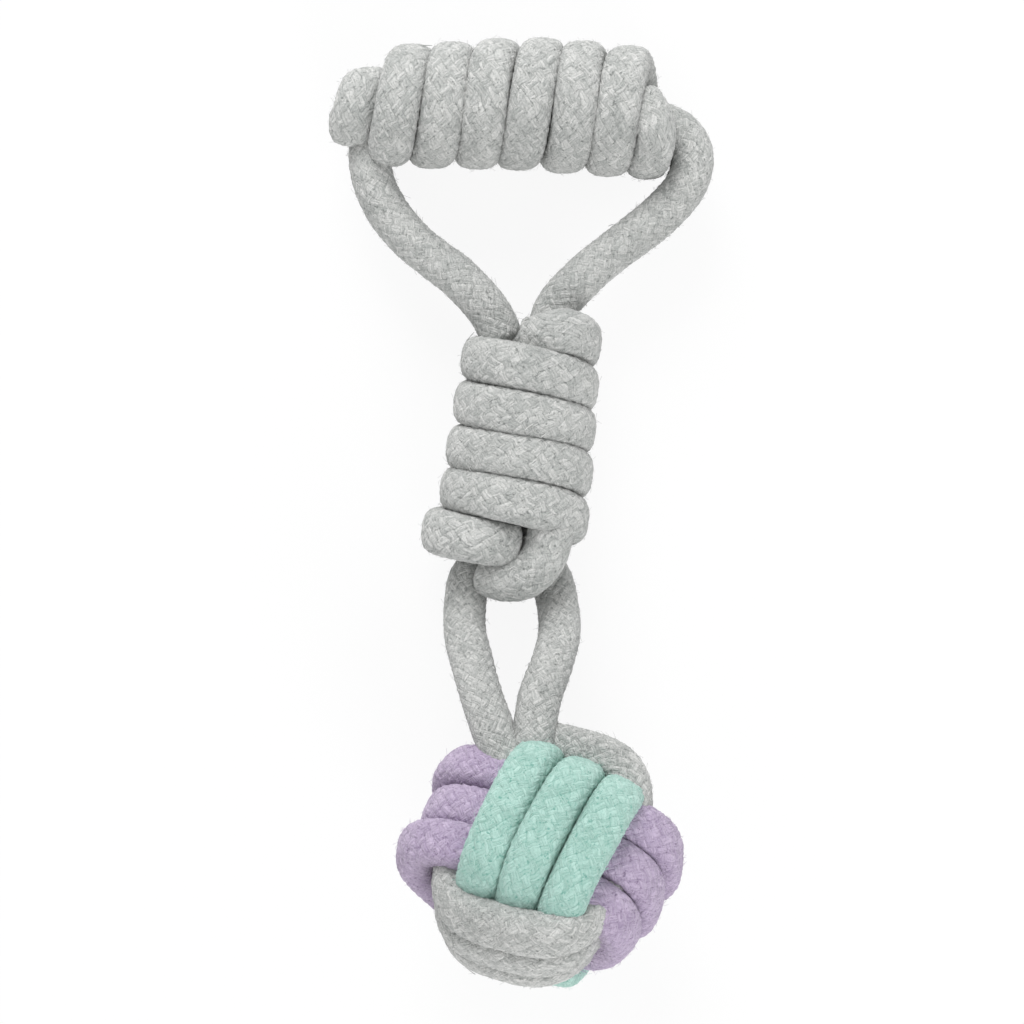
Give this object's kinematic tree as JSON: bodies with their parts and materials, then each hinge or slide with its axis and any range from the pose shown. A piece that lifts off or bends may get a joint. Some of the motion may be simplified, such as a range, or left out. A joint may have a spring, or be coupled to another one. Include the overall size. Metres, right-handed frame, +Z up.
{
  "type": "rope dog toy",
  "caption": "Cotton rope tug toy: a wound hand grip on a rope loop, a wrapped knot, and a woven rope ball at the end of doubled legs.",
  "frame": {"origin": "centre of the bounding box on the surface that the toy lies on", "axes": "+Y from the ball along the toy to the hand grip, +X along the hand grip, +Z up from the surface"},
  "size_m": [0.1046, 0.2566, 0.0692],
  "materials": {
    "grey_cotton": "braided cotton, matt",
    "mint_cotton": "braided cotton, matt",
    "lavender_cotton": "braided cotton, matt",
    "core_cotton": "wadded cotton, matt"
  },
  "bodies": {
    "knot": {"knot_winding": "grey_cotton", "knot_strand_left": "grey_cotton", "knot_strand_right": "grey_cotton", "knot_bight": "grey_cotton"},
    "handle": {"handle_winding": "grey_cotton", "handle_core": "grey_cotton", "upper_leg_left": "grey_cotton", "upper_leg_right": "grey_cotton"},
    "lower_legs": {"lower_leg_left": "grey_cotton", "lower_leg_right": "grey_cotton"},
    "ball": {"ball_entry_left": "grey_cotton", "ball_entry_right": "grey_cotton", "mint_winding": "mint_cotton", "lavender_winding": "lavender_cotton", "grey_winding": "grey_cotton", "ball_core": "core_cotton"}
  },
  "joints": [
    {"name": "handle_fold", "type": "hinge", "parent": "knot", "child": "handle", "pos_m": [0, 0.0636, 0.01688], "axis": [1, 0, 0], "range_deg": [-90, 90]},
    {"name": "ball_fold", "type": "hinge", "parent": "knot", "child": "lower_legs", "pos_m": [0, -0.0318, 0.02], "axis": [1, 0, 0], "range_deg": [-60, 60]},
    {"name": "ball_tilt", "type": "hinge", "parent": "lower_legs", "child": "ball", "pos_m": [0, -0.05, 0.034], "axis": [1, 0, 0], "range_deg": [-60, 40]}
  ]
}
